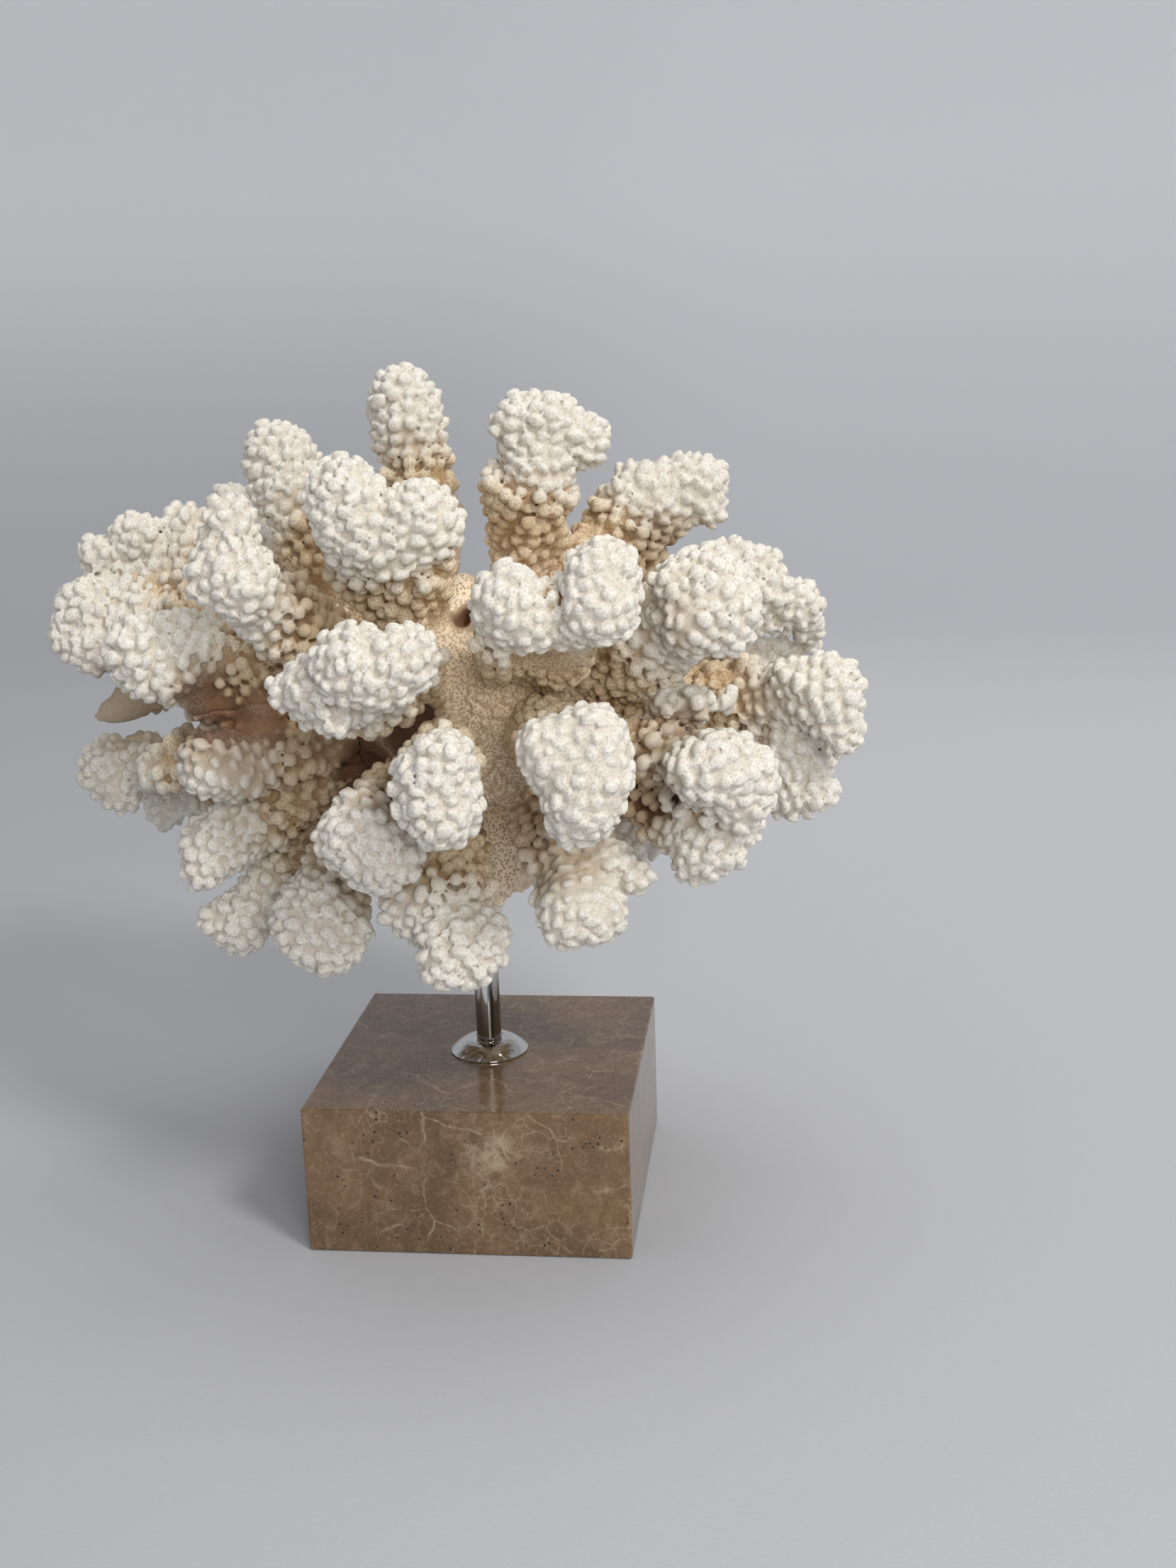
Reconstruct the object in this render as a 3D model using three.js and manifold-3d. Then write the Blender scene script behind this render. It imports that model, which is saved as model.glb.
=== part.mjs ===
// A cauliflower coral on a metal rod, over a polished stone block. Millimetres, +Z up.
// The origin is the middle of the block's underside, and -Y is the side that faces the viewer.

import * as THREE from 'three';
import { mergeVertices } from 'three/addons/utils/BufferGeometryUtils.js';
import Module from 'manifold-3d';

const wasm = await Module();
wasm.setup();

// Stand
const BLOCK_SIDE = 100;
const BLOCK_HEIGHT = 47;
const BLOCK_BEVEL = 0.8;
const ROD_RADIUS = 4;
const ROD_FOOT_DEPTH = 20; // how far the rod goes down into the block
const ROD_TOP = 122;
const FLANGE_RADIUS = 12.5;
const FLANGE_HEIGHT = 4.5;
const ROUND_SIDES = 28; // sides of the rod and the flange

// Coral
const HEART = [0, 6, 163]; // the point that every branch grows out from
const CORE_HALF = [46, 40, 36];
const STUMP_TIP = [3, -1, 93]; // lower end of the trunk that the rod goes into
const STUMP_HALF = [9.5, 9.5];
const KNOB_HEIGHT = 2.1;
const KNOB_START = 0.5; // share of a limb's length, from the heart, where its knobs begin
const NECK_SHARE = 0.4; // share of a limb's length where it is narrowest, near the core
const SLIM = 9.5; // a limb narrower than this, from middle to side, needs fewer sides
const LIMB_SIDES = 8;
const SLIM_LIMB_SIDES = 6;
const CAP_RINGS = 3;
const BODY_RINGS = 5;
const GAP = 0.35; // clearance between neighbouring pieces

// Each branch is one limb or a few grown together. A limb runs from the heart through `via` to
// `tip`. `half` is half its width and half its thickness near the tip, `neck` is how much
// narrower its root is, and `roll` is how far its wide side tilts from level, in degrees,
// as seen from the front.
const BRANCHES = {
  branch_top_left: [
    { via: [-15, 20, 215], tip: [-23, 25, 261], half: [12, 11.5], neck: 0.8 },
  ],
  branch_top_right: [
    { via: [19, -4, 215], tip: [27, -5, 256], half: [14, 12], roll: -15, neck: 0.75 },
    { via: [28, -4, 236], tip: [44, -5, 238], half: [8.5, 8], neck: 0.9 },
  ],
  branch_front_top_left: [
    { via: [-19, -36, 206], tip: [-24, -55, 235], half: [12.5, 10.5], neck: 0.8 },
    { via: [-8, -36, 202], tip: [-4, -55, 230], half: [12, 10], neck: 0.8 },
  ],
  branch_rear_top_left: [
    { via: [-51, 24, 206], tip: [-66, 30, 243], half: [12.5, 12], neck: 0.8 },
  ],
  branch_far_top_left: [
    { via: [-64, 50, 192], tip: [-99, 75, 219], half: [10, 9] },
  ],
  branch_left_fan: [
    { via: [-92, 18, 188], tip: [-121, 20, 212], half: [15.5, 9], roll: 38, neck: 1 },
    { via: [-78, 24, 193], tip: [-97, 30, 219], half: [9.5, 9] },
    { via: [-92, 12, 183], tip: [-136, 12, 186], half: [16, 12], roll: 80, neck: 0.8 },
    { via: [-88, 12, 170], tip: [-125, 18, 157], half: [8, 6], roll: 10 },
  ],
  branch_left_upper: [
    { via: [-43, -32, 190], tip: [-62, -58, 212], half: [13.5, 12.5], roll: 80 },
  ],
  branch_left_lower: [
    { via: [-60, -22, 178], tip: [-98, -42, 182], half: [13, 12], roll: 60 },
  ],
  branch_front_left: [
    { via: [-9, -52, 180], tip: [-11, -88, 190], half: [15.5, 9.5], roll: 8, neck: 0.5 },
    { via: [-18, -50, 174], tip: [-29, -80, 178], half: [16, 10.5], roll: -10, neck: 0.5 },
  ],
  branch_left_rear_low: [
    { via: [-88, 12, 143], tip: [-134, 18, 134], half: [11.5, 10], roll: 110 },
    { via: [-76, 2, 147], tip: [-100, -8, 144], half: [7.5, 7], roll: 90 },
  ],
  branch_left_far_low: [
    { via: [-78, 30, 132], tip: [-125, 35, 118], half: [11, 8], roll: 160 },
  ],
  branch_left_mid: [
    { via: [-45, -22, 154], tip: [-76, -48, 155], half: [13, 10.5], roll: 150 },
  ],
  branch_left_low: [
    { via: [-54, -16, 138], tip: [-83, -36, 119], half: [13, 12], roll: 140 },
  ],
  branch_left_bottom: [
    { via: [-54, -6, 120], tip: [-80, -20, 92], half: [11.5, 10], roll: 20 },
  ],
  branch_bottom_left: [
    { via: [-34, -22, 126], tip: [-46, -46, 92], half: [13, 11.5] },
  ],
  branch_front_low_left: [
    { via: [-14, -36, 146], tip: [-22, -76, 134], half: [12.5, 12], roll: 30 },
  ],
  branch_front_centre: [
    { via: [1, -44, 158], tip: [6, -98, 157], half: [13, 10.5], roll: 95 },
  ],
  branch_bottom: [
    { via: [-1, -36, 126], tip: [4, -64, 92], half: [13, 12] },
    { via: [-8, -42, 121], tip: [-21, -54, 110], half: [7, 7] },
  ],
  branch_front_right: [
    { via: [28, -46, 160], tip: [46, -98, 161], half: [16, 12.5], roll: 100 },
  ],
  branch_bottom_right: [
    { via: [26, -32, 136], tip: [40, -64, 109], half: [14, 12], roll: 10 },
    { via: [38, -46, 128], tip: [57, -56, 125], half: [7, 7] },
  ],
  branch_front_top_right: [
    { via: [19, -48, 187], tip: [25, -86, 206], half: [12, 9.5], roll: 80 },
    { via: [34, -48, 188], tip: [50, -86, 212], half: [15, 10.5], roll: 80 },
  ],
  branch_right_upper: [
    { via: [50, -34, 184], tip: [81, -62, 204], half: [15.5, 13], roll: 110 },
  ],
  branch_top_far_right: [
    { via: [38, 10, 202], tip: [57, 14, 232], half: [10.5, 10] },
    { via: [48, 12, 206], tip: [73, 20, 230], half: [10, 12], roll: 50 },
    { via: [30, 6, 204], tip: [42, 5, 217], half: [7, 7] },
  ],
  branch_right_rear_upper: [
    { via: [58, 0, 184], tip: [90, -8, 205], half: [13.5, 11], roll: 140 },
    { via: [72, 8, 180], tip: [104, 18, 190], half: [9, 9] },
    { via: [76, 20, 172], tip: [106, 32, 172], half: [9, 9], roll: 90 },
  ],
  branch_right: [
    { via: [72, -8, 164], tip: [115, -28, 169], half: [12.5, 12], roll: 70 },
    { via: [80, -10, 150], tip: [109, -12, 135], half: [11, 10], roll: 60 },
  ],
  branch_right_low: [
    { via: [50, -32, 156], tip: [86, -68, 155], half: [14, 10.5], roll: 165 },
    { via: [56, -34, 144], tip: [79, -54, 127], half: [11.5, 10], roll: 20 },
  ],
  branch_right_spur: [
    { via: [60, -38, 169], tip: [81, -50, 170], half: [6, 5], neck: 1 },
  ],
  branch_right_rear_low: [
    { via: [36, 16, 136], tip: [52, 26, 112], half: [10, 9] },
  ],
  branch_back_top_left: [
    { via: [-26, 44, 194], tip: [-46, 68, 220], half: [12, 11], roll: 30 },
  ],
  branch_back_top_right: [
    { via: [22, 42, 186], tip: [34, 74, 196], half: [13, 11], roll: -20 },
  ],
  branch_back_left: [
    { via: [-62, 42, 172], tip: [-104, 62, 178], half: [13, 11], roll: 70 },
  ],
  branch_back_left_low: [
    { via: [-50, 38, 140], tip: [-84, 60, 122], half: [12, 11], roll: 140 },
  ],
  branch_back_centre: [
    { via: [-4, 56, 166], tip: [-8, 98, 172], half: [15, 12], roll: 20 },
  ],
  branch_back_centre_low: [
    { via: [-14, 52, 142], tip: [-26, 86, 126], half: [13, 11], roll: 150 },
  ],
  branch_back_right: [
    { via: [38, 48, 172], tip: [70, 78, 178], half: [14, 12], roll: 60 },
  ],
  branch_back_right_low: [
    { via: [32, 46, 144], tip: [54, 74, 128], half: [13, 11], roll: 30 },
  ],
  branch_back_bottom: [
    { via: [-2, 36, 128], tip: [2, 58, 98], half: [12, 11] },
  ],
  branch_back_far_right: [
    { via: [60, 34, 160], tip: [98, 56, 156], half: [13, 11], roll: 100 },
  ],
};

const pointAt = (p) => new THREE.Vector3(...p);

// Turns a closed three.js geometry into a solid that can be joined and cut.
function solidOf(geometry) {
  const bare = geometry.index ? geometry : mergeVertices(geometry);
  bare.deleteAttribute('normal');
  bare.deleteAttribute('uv');
  const merged = mergeVertices(bare, 1e-4);
  return new wasm.Manifold(new wasm.Mesh({
    numProp: 3,
    vertProperties: new Float32Array(merged.getAttribute('position').array),
    triVerts: new Uint32Array(merged.index.array),
  }));
}

// Gives a solid's faces back as a flat-shaded geometry.
function geometryOf(solid) {
  const { vertProperties, triVerts } = solid.getMesh();
  const geometry = new THREE.BufferGeometry();
  geometry.setAttribute('position', new THREE.BufferAttribute(vertProperties, 3));
  geometry.setIndex(new THREE.BufferAttribute(triVerts, 1));
  const faceted = geometry.toNonIndexed();
  faceted.computeVertexNormals();
  return faceted;
}

const moved = (geometry, x, y, z) => solidOf(geometry.translate(x, y, z));

// A repeatable unevenness between -1 and 1 for ring i and side j of a limb.
function unevenness(i, j, seed) {
  const wave = Math.sin(i * 12.99 + j * 78.23 + seed * 37.72) * 43758.55;
  return 2 * (wave - Math.floor(wave)) - 1;
}

// Where ring i of a limb lies: how far back from the tip, and how full its section is.
function ringAt(i, length, capLength) {
  if (i <= CAP_RINGS) {
    const turn = (Math.PI / 2) * (i / CAP_RINGS);
    return { back: capLength * (1 - Math.cos(turn)), full: Math.sin(turn) ** 0.8, lean: Math.cos(turn) };
  }
  const step = (i - CAP_RINGS) / (BODY_RINGS - 1);
  if (step > 1) return { back: length, full: 0, lean: 0 };
  return { back: THREE.MathUtils.lerp(capLength, length * (1 - NECK_SHARE), step), full: 1, lean: 0 };
}

// A limb is a sphere whose rings are slid along a curve and widened to the limb's section.
// On its outer part every other vertex is raised into a knob that leans towards the tip.
function limbSolid({ via, tip, half, neck = 0.75, roll = 0, smooth = false }, grow) {
  const curve = new THREE.CatmullRomCurve3([HEART, via, tip].map(pointAt), false, 'centripetal');
  const length = curve.getLength();
  const tilt = THREE.MathUtils.degToRad(roll);
  const level = new THREE.Vector3(Math.cos(tilt), 0, Math.sin(tilt));
  const seed = tip[0] + 2 * tip[1] + 3 * tip[2];
  const sides = half[0] < SLIM ? SLIM_LIMB_SIDES : LIMB_SIDES;
  const sphere = new THREE.SphereGeometry(1, sides, CAP_RINGS + BODY_RINGS);
  const position = sphere.getAttribute('position');

  for (let k = 0; k < position.count; k++) {
    const i = Math.floor(k / (sides + 1));
    const j = (k % (sides + 1)) % sides;
    const { back, full, lean } = ringAt(i, length, half[1] * 0.8);
    const share = 1 - back / length;
    const forward = curve.getTangentAt(share);
    const wide = level.clone().addScaledVector(forward, -level.dot(forward)).normalize();
    const thick = wide.clone().cross(forward);
    const around = (2 * Math.PI * j) / sides;
    const narrowing = THREE.MathUtils.lerp(neck, 1, THREE.MathUtils.smoothstep(share, NECK_SHARE, 0.85));
    const outward = new THREE.Vector3()
      .addScaledVector(wide, -Math.cos(around))
      .addScaledVector(thick, Math.sin(around));

    let knob = 0;
    if (!smooth && share > KNOB_START && i > 0) {
      const raised = (i + j) % 2 === 0 ? 0.8 : -0.35;
      knob = KNOB_HEIGHT * (raised + 0.3 * unevenness(i, j, seed));
    }
    const vertex = curve.getPointAt(share)
      .addScaledVector(wide, -Math.cos(around) * half[0] * full * narrowing)
      .addScaledVector(thick, Math.sin(around) * half[1] * full * narrowing)
      .addScaledVector(outward, (knob + grow) * (full > 0 ? 1 : 0))
      .addScaledVector(forward, (knob * 0.6 + grow) * lean);
    position.setXYZ(k, vertex.x, vertex.y, vertex.z);
  }
  return solidOf(sphere);
}

const branchSolid = (limbs, grow = 0) => limbs
  .map((limb) => limbSolid(limb, grow))
  .reduce((whole, limb) => whole.add(limb));

// The heart of the coral: a smooth rounded mass, with the trunk that stands on the rod.
function coreSolid(grow = 0) {
  const mass = new THREE.SphereGeometry(1, 14, 8);
  mass.scale(...CORE_HALF.map((half) => half + grow));
  const via = [STUMP_TIP[0], STUMP_TIP[1], 125];
  const stump = limbSolid({ via, tip: STUMP_TIP, half: STUMP_HALF, neck: 1.3, smooth: true }, grow);
  return moved(mass, ...HEART).add(stump);
}

const upright = (geometry) => geometry.rotateX(Math.PI / 2);

function rodSolid(grow = 0) {
  const bottom = BLOCK_HEIGHT - ROD_FOOT_DEPTH - grow;
  const height = ROD_TOP + grow - bottom;
  const rod = new THREE.CylinderGeometry(ROD_RADIUS + grow, ROD_RADIUS + grow, height, ROUND_SIDES);
  return moved(upright(rod), 0, 0, bottom + height / 2);
}

// A domed metal rosette that hides the hole around the rod.
function flangeSolid() {
  const rim = 0.8;
  const foot = BLOCK_HEIGHT + GAP / 10;
  const profile = [new THREE.Vector2(0, 0), new THREE.Vector2(FLANGE_RADIUS, 0)];
  const steps = 4;
  for (let k = 0; k <= steps; k++) {
    const share = k / steps;
    const radius = THREE.MathUtils.lerp(FLANGE_RADIUS, ROD_RADIUS + 1, share);
    profile.push(new THREE.Vector2(radius, rim + (FLANGE_HEIGHT - rim) * Math.sin((share * Math.PI) / 2)));
  }
  profile.push(new THREE.Vector2(0, FLANGE_HEIGHT));
  const dome = new THREE.LatheGeometry(profile, ROUND_SIDES);
  return moved(upright(dome), 0, 0, foot).subtract(rodSolid(0.05));
}

function blockSolid() {
  const inner = BLOCK_SIDE / 2 - BLOCK_BEVEL;
  const outline = new THREE.Shape([
    new THREE.Vector2(-inner, -inner), new THREE.Vector2(inner, -inner),
    new THREE.Vector2(inner, inner), new THREE.Vector2(-inner, inner),
  ]);
  const block = new THREE.ExtrudeGeometry(outline, {
    depth: BLOCK_HEIGHT - 2 * BLOCK_BEVEL,
    bevelThickness: BLOCK_BEVEL,
    bevelSize: BLOCK_BEVEL,
    bevelSegments: 2,
  });
  return moved(block, 0, 0, BLOCK_BEVEL).subtract(rodSolid(0.05));
}

// What is left of a solid once the others are cut away, without any loose crumb.
function carved(solid, others) {
  const cut = others.reduce((left, other) => left.subtract(other), solid);
  return cut.decompose().reduce((most, piece) => (piece.volume() > most.volume() ? piece : most));
}

const coralMaterial = new THREE.MeshStandardMaterial({ color: 0xeee6d6, roughness: 0.9, flatShading: true });
const coreMaterial = new THREE.MeshStandardMaterial({ color: 0xe6cfae, roughness: 0.9, flatShading: true });
const stoneMaterial = new THREE.MeshStandardMaterial({ color: 0x7a604a, roughness: 0.25 });
const chromeMaterial = new THREE.MeshStandardMaterial({ color: 0xd8d8da, roughness: 0.12, metalness: 1 });

const coralOnStand = new THREE.Group();

function addPiece(name, solid, material) {
  const mesh = new THREE.Mesh(geometryOf(solid), material);
  mesh.name = name;
  coralOnStand.add(mesh);
}

addPiece('stone_block', blockSolid(), stoneMaterial);
addPiece('rod', rodSolid(), chromeMaterial);
addPiece('flange', flangeSolid(), chromeMaterial);

addPiece('coral_core', carved(coreSolid(), [rodSolid(GAP)]), coreMaterial);

const grown = [coreSolid(GAP), rodSolid(GAP)];
for (const [name, limbs] of Object.entries(BRANCHES)) {
  addPiece(name, carved(branchSolid(limbs), grown), coralMaterial);
  grown.push(branchSolid(limbs, GAP));
}

export default coralOnStand;
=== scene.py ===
"""The looks of a cauliflower coral on a metal rod over a polished stone block.

The coral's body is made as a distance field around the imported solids, rounded and blended,
with thousands of small pegs joined onto it. Each solid's share of that surface is one piece.
Lengths inside the fields are in millimetres, and every Blender object is in metres.
"""

import math

import bpy
import bmesh
import numpy as np
import openvdb
from mathutils import Matrix, Vector
from mathutils.bvhtree import BVHTree
from mathutils.kdtree import KDTree


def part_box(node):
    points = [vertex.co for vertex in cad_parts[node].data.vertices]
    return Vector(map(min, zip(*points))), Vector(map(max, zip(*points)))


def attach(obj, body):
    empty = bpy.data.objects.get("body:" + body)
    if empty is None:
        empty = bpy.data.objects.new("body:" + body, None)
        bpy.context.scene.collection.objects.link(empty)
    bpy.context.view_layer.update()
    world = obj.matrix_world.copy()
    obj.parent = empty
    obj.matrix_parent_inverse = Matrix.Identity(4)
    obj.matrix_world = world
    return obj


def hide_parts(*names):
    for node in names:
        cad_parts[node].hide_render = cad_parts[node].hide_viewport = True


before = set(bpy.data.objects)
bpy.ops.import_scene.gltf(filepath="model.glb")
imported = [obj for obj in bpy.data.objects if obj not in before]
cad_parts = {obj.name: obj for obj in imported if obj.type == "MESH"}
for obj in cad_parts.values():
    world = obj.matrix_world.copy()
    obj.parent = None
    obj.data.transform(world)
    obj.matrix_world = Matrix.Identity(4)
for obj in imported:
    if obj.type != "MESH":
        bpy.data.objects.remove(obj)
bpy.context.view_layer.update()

MM = 0.001
HEART = np.array([0.0, 6.0, 163.0])  # the point that every branch grows out from
STAND_NODES = ("stone_block", "rod", "flange")
CORE = "coral_core"

BLOCK_SIDE, BLOCK_HEIGHT = 100.0, 47.0
ROD_RADIUS, ROD_TOP = 4.0, 122.0
FLANGE_RADIUS, FLANGE_HEIGHT = 12.5, 4.5

# The picture's camera: its place in millimetres, its turns in degrees and its focal length in pixels.
PICTURE_WIDTH, PICTURE_HEIGHT = 1659, 2212
FOCAL_PIXELS = 2563.8
CAMERA_PLACE = np.array([100.5, -545.8, 272.7])
CAMERA_YAW, CAMERA_PITCH, CAMERA_ROLL = 6.86, -13.98, -1.74

# Round lobes of the branches' heads as they show in the picture:
# pixels across and down to the lobe's middle, and its radius in millimetres.
LOBES_SEEN = {
    "top_left": [(568, 566, 11.5), (576, 606, 11.5)],
    "top_right": [(712, 597, 5), (737, 592, 8.5), (775, 597, 10), (824, 625, 8), (760, 650, 12),
                  (742, 700, 12)],
    "rear_top_left": [(398, 652, 13), (406, 690, 12)],
    "far_top_left": [(322, 705, 7)],
    "front_top_left": [(487, 703, 12), (590, 735, 12), (545, 768, 11), (500, 745, 10)],
    "left_fan": [(143, 783, 7), (193, 757, 8), (262, 738, 8), (262, 773, 5.5), (125, 862, 10.5),
                 (103, 900, 7.5), (140, 910, 9.5), (152, 1003, 5.5), (170, 999, 6.5), (192, 990, 6.5),
                 (212, 982, 6), (182, 975, 6.5), (215, 965, 6.5)],
    "left_upper": [(323, 737, 8.5), (325, 800, 11.5), (345, 830, 9.5), (290, 825, 7)],
    "left_lower": [(205, 920, 11), (255, 912, 11.5), (235, 945, 9.5), (295, 905, 7.5), (290, 988, 8),
                   (330, 990, 9), (372, 994, 9.5), (415, 1000, 9.5)],
    "left_rear_low": [(158, 1085, 11.5), (232, 1085, 8), (200, 1060, 7.5), (170, 1125, 6)],
    "left_mid": [(300, 1078, 11), (345, 1090, 9), (265, 1065, 4)],
    "left_low": [(345, 1155, 10.5), (300, 1195, 10.5), (285, 1228, 7)],
    "left_bottom": [(310, 1295, 6.5), (345, 1300, 9.5), (335, 1315, 7), (365, 1290, 6)],
    "bottom_left": [(450, 1290, 13), (460, 1325, 11), (430, 1310, 9), (490, 1310, 7)],
    "front_low_left": [(510, 1175, 12), (535, 1205, 11), (505, 1140, 6.5), (570, 1215, 5.5),
                       (485, 1190, 7.5), (530, 1235, 5)],
    "front_centre": [(612, 1110, 12), (625, 1078, 9), (622, 1150, 10)],
    "bottom": [(610, 1270, 14), (645, 1328, 12), (625, 1358, 7.5), (680, 1312, 7.5), (665, 1354, 8),
               (565, 1295, 6), (700, 1342, 4.5)],
    "front_right": [(833, 1045, 11), (828, 1095, 13), (820, 1140, 11), (775, 1060, 10), (800, 1165, 5.5)],
    "bottom_right": [(800, 1275, 11), (840, 1285, 10.5), (860, 1235, 8), (900, 1240, 5.5), (800, 1300, 7.5),
                     (850, 1215, 9)],
    "right_low": [(1010, 1085, 11), (1050, 1090, 9.5), (975, 1085, 7), (1040, 1125, 9.5), (1000, 1185, 12),
                  (1010, 1150, 11), (985, 1215, 7), (1050, 1170, 5)],
    "right_rear_low": [(900, 1165, 7.5), (905, 1190, 5.5)],
    "right": [(1165, 975, 11.5), (1175, 1012, 8.5), (1190, 1040, 6.5), (1120, 955, 7), (1130, 1110, 9.5),
              (1155, 1120, 5.5), (1105, 1045, 9), (1140, 1055, 9.5), (1125, 1080, 9), (1100, 1125, 6)],
    "right_spur": [(985, 993, 5.5), (1028, 990, 4), (945, 992, 6.5)],
    "right_upper": [(1000, 835, 12), (1022, 868, 10), (975, 880, 9), (955, 825, 6), (1040, 890, 5.5)],
    "right_rear_upper": [(1040, 800, 10), (1083, 830, 8), (1085, 793, 5.5), (1005, 785, 5.5),
                         (1125, 852, 8.5), (1140, 885, 5), (1145, 905, 4)],
    "front_left": [(560, 930, 10.5), (500, 938, 12), (450, 975, 11), (540, 965, 9), (405, 975, 6),
                   (590, 925, 7), (470, 1020, 5.5)],
    "front_top_right": [(720, 852, 12), (852, 810, 11), (855, 860, 9.5), (785, 880, 9), (740, 890, 7.5)],
    "coral_core": [(690, 900, 13), (700, 985, 16), (760, 960, 12), (705, 1070, 14), (640, 1000, 10),
                   (700, 1238, 5), (655, 830, 5), (712, 1170, 9), (722, 1215, 8),
                   (640, 930, 11), (505, 1078, 6.5)],
    "top_far_right": [(907, 690, 9), (950, 685, 8.5), (988, 680, 9), (998, 722, 6), (930, 715, 7.5),
                      (880, 705, 5.5), (845, 715, 4)],
}
# Deep hollows and pockets between the branches: pixels across and down, and the radius in millimetres.
HOLLOWS_SEEN = [(575, 1045, 7), (530, 1082, 3.5), (605, 1012, 6), (658, 878, 2.5), (690, 1165, 3),
                (905, 1120, 7), (965, 1030, 4.5), (480, 868, 8), (930, 790, 6)]
# Brown marks, partly real stains and partly painted shade under branches and in hollows: pixels across and
# down, the radius in millimetres, and the depth of the brown from 0 to 1.
STAINS_AND_SHADE_SEEN = [(170, 1000, 16, 0.55), (310, 1010, 17, 0.92), (375, 1010, 14, 0.88), (262, 842, 10, 0.4),
               (430, 1080, 24, 0.6), (460, 850, 16, 0.8), (525, 1085, 15, 1.0), (575, 1045, 13, 1.0),
               (610, 1010, 10, 0.8), (905, 1080, 18, 0.5), (900, 1125, 11, 1.0), (930, 890, 16, 0.3),
               (930, 790, 14, 0.8), (800, 965, 8, 0.1), (1045, 985, 14, 0.35), (965, 1030, 8, 0.8),
               (780, 1190, 16, 0.5), (620, 1215, 13, 0.55), (690, 1165, 6, 0.9), (658, 876, 5, 1.0),
               (740, 760, 14, 0.55), (590, 660, 14, 0.35), (440, 790, 12, 0.5), (400, 1140, 20, 0.35),
               (540, 1110, 12, 0.7), (740, 1130, 12, 0.2), (860, 950, 14, 0.2), (520, 1255, 12, 0.4)]
# Smooth stretches without pegs: pixels across and down, and the radius in millimetres.
BARE_SEEN = [(222, 825, 7), (285, 990, 11), (170, 1000, 16), (300, 1012, 11), (365, 1015, 12),
             (460, 830, 11), (640, 880, 13), (910, 830, 9), (1045, 985, 8), (1020, 950, 7), (785, 940, 16),
             (700, 1130, 14), (820, 740, 9)]
SIGHT_DISTANCES = range(430, 800, 3)  # where along a sight line the object can be, in millimetres

COARSE = 1.5  # voxel of the fields that describe the body
BAND = 10.0  # width of each solid's distance field on either side, in coarse voxels
FILLET = 5.0  # how far neighbouring solids melt into one another
ROUNDING = 1.5  # blur of the body, in coarse voxels
INSET = 1.8  # how far the body's skin lies inside the solids, to leave room for the pegs
HEAD_INSET = 2.6  # how much further it lies inside them at the heads, where lobes are added
INSET_START, INSET_FADE = 0.60, 0.3  # where along a branch that begins, and how soon it is full
HEAD_START, HEAD_FADE = 0.66, 0.14  # where a head starts along its branch, and how soon it is full
LOBE_DEPTH = 0.9  # how deep a head's lobes sit behind the solid's skin, as a share of their radius
CORE_LOBE_DEPTH = 0.3  # the same for the core's lobes
LOBE_MELT = 4.0  # how far a lobe melts into what is beside it
LOBE_ROOM = 8  # how far around a lobe the melting is worked out
FAR_LOBES = 5  # lobes on each branch that the picture doesn't show
FAR_LOBE_RADII = (6.0, 8.5)
FAR_RIM = 0.8  # how far along such a branch the lobes start
SWELLS = ((0.75, 7.0, 1.2), (0.8, 15.0, 2.2))  # strength, wavelength and blur of the skin's unevenness
SWELL_START, SWELL_FADE, SWELL_LEAST = 45.0, 40.0, 0.4  # it is weaker near the heart
NARROW_BLUR, WIDE_BLUR = 5.5, 11.0  # how far around a point it is told whether it lies in a hollow, in voxels
PLUG_RADIUS, PLUG_MIDDLE, PLUG_HALF = 6.0, 111.0, 13.0  # closes the solids' hole for the rod
ROD_GAP = 0.3  # room around the rod in its hole

SKIN_JITTER = 0.4  # how far the points on the skin are shifted at random
CONVEX, CONVEX_FADE = 0.49, 0.09  # how exposed a spot on a head has to be to count as its tip
RIM_AT = 0.35  # the rim is where the tip's share is near this
# The pegs: a value on a branch's side, and what the head, its rim or its tip adds to it.
PEG_SPACING, PEG_SPACING_TIP, PEG_SPACING_RIM = 3.0, 0.1, 0.5
PEG_LENGTH, PEG_LENGTH_RIM, PEG_LENGTH_TIP = 3.4, 3.2, -1.25
PEG_RADIUS, PEG_RADIUS_HEAD, PEG_RADIUS_RIM = 2.45, -0.35, -0.25
PEG_LEAN, PEG_LEAN_HEAD, PEG_LEAN_TIP = 0.7, -0.3, -0.9
PEG_EDGE, PEG_EDGE_HEAD = 0.75, -0.25  # rounding of the flat end, as a share of the radius
PEG_GROOVE, PEG_GROOVE_TIP = 0.75, 0.1  # depth of the groove beside a peg
# The least and the most that the random draws add or multiply by.
SPACING_SPREAD, SIZE_SPREAD = (0.82, 1.18), (0.70, 1.28)
RIM_SPREAD, WIDTH_SPREAD, FUSED_SPREAD = (0.3, 1.2), (0.1, 0.55), (0.6, 1.7)
WAY_SPREAD, TURN_SPREAD = 0.12, 0.35  # how unevenly the pegs point, and turn about their own axes
PEG_START, PEG_FADE = 46.0, 11.0  # how far from the heart the pegs start, and how soon they are full size
LEAST_GROWTH = 0.05  # a smaller peg is left out
CORE_BARE = 56.0  # the core has no pegs nearer to the heart than this
TRUNK_MIDDLE, TRUNK_RADIUS, TRUNK_LOW, TRUNK_HIGH = 3, 17, 108, 128  # the trunk above the rod has no pegs
GROOVE_WIDTH = 1.0  # width of the groove where two pegs touch
PEG_MELT = 0.25  # how far a peg melts into what is beside it
PEG_ROOM = 9.0  # how far from the body's skin a peg may reach
PEG_RELIEF = 1.9  # how much the pegs add to a lobe's radius
NO_PEG = 9.0  # the pegs' field where no peg is near
PEG_FOOT, PEG_FLARE = 0.93, 0.07  # width of a peg's foot, and how much wider it is at its end
PEG_BORDER, BLOCK_BORDER = 1.0, 1.5  # room kept around a peg, and around a piece's block

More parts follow.
